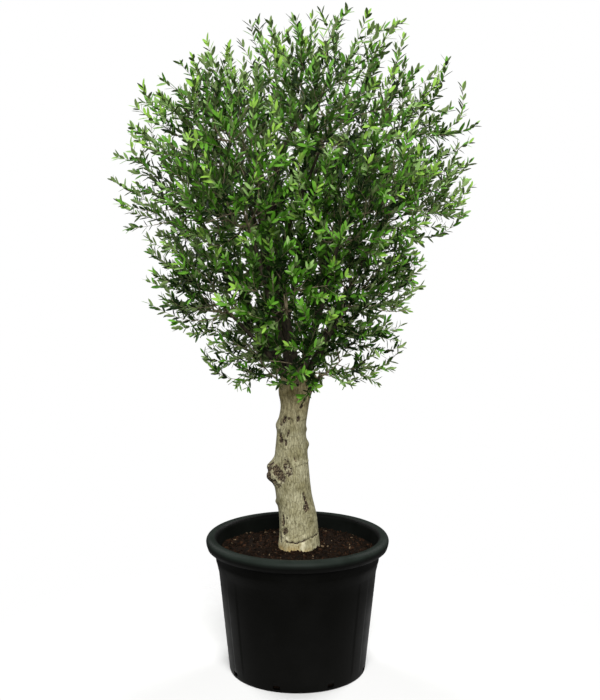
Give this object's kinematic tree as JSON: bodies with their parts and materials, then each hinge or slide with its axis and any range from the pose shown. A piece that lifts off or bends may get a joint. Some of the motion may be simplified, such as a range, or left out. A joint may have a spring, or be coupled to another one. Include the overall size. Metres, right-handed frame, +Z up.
{
  "type": "potted olive tree",
  "caption": "Old olive tree with a stout pruned trunk and a round crown of narrow grey-green leaves, standing in a black plastic nursery pot filled with soil.",
  "frame": {"origin": "centre of the pot's flat underside, on the pot's axis", "axes": "+Z up along the pot's axis; -Y is the front, from which the burl on the trunk is at the left; +X to the right"},
  "size_m": [1.2685, 1.1907, 2.3023],
  "materials": {
    "pot_plastic": "satin",
    "potting_soil": "matte",
    "trunk_bark": "matte",
    "bough_bark": "matte",
    "olive_foliage": "satin"
  },
  "bodies": {
    "root": {"pot": "pot_plastic", "soil": "potting_soil", "trunk": "trunk_bark", "leader": "bough_bark", "bough_heart_1": "bough_bark", "bough_lower_1": "bough_bark", "bough_lower_2": "bough_bark", "bough_lower_3": "bough_bark", "bough_lower_4": "bough_bark", "bough_lower_5": "bough_bark", "bough_lower_6": "bough_bark", "bough_middle_1": "bough_bark", "bough_middle_2": "bough_bark", "bough_middle_3": "bough_bark", "bough_middle_4": "bough_bark", "bough_middle_5": "bough_bark", "bough_middle_6": "bough_bark", "bough_shoulder_1": "bough_bark", "bough_shoulder_2": "bough_bark", "bough_shoulder_3": "bough_bark", "bough_shoulder_4": "bough_bark", "bough_shoulder_5": "bough_bark", "bough_skirt_1": "bough_bark", "bough_skirt_2": "bough_bark", "bough_skirt_3": "bough_bark", "bough_skirt_4": "bough_bark", "bough_skirt_5": "bough_bark", "foliage_heart_1": "olive_foliage", "foliage_lower_1": "olive_foliage", "foliage_lower_2": "olive_foliage", "foliage_lower_3": "olive_foliage", "foliage_lower_4": "olive_foliage", "foliage_lower_5": "olive_foliage", "foliage_lower_6": "olive_foliage", "foliage_middle_1": "olive_foliage", "foliage_middle_2": "olive_foliage", "foliage_middle_3": "olive_foliage", "foliage_middle_4": "olive_foliage", "foliage_middle_5": "olive_foliage", "foliage_middle_6": "olive_foliage", "foliage_shoulder_1": "olive_foliage", "foliage_shoulder_2": "olive_foliage", "foliage_shoulder_3": "olive_foliage", "foliage_shoulder_4": "olive_foliage", "foliage_shoulder_5": "olive_foliage", "foliage_skirt_1": "olive_foliage", "foliage_skirt_2": "olive_foliage", "foliage_skirt_3": "olive_foliage", "foliage_skirt_4": "olive_foliage", "foliage_skirt_5": "olive_foliage", "foliage_top_1": "olive_foliage"}
  },
  "joints": []
}
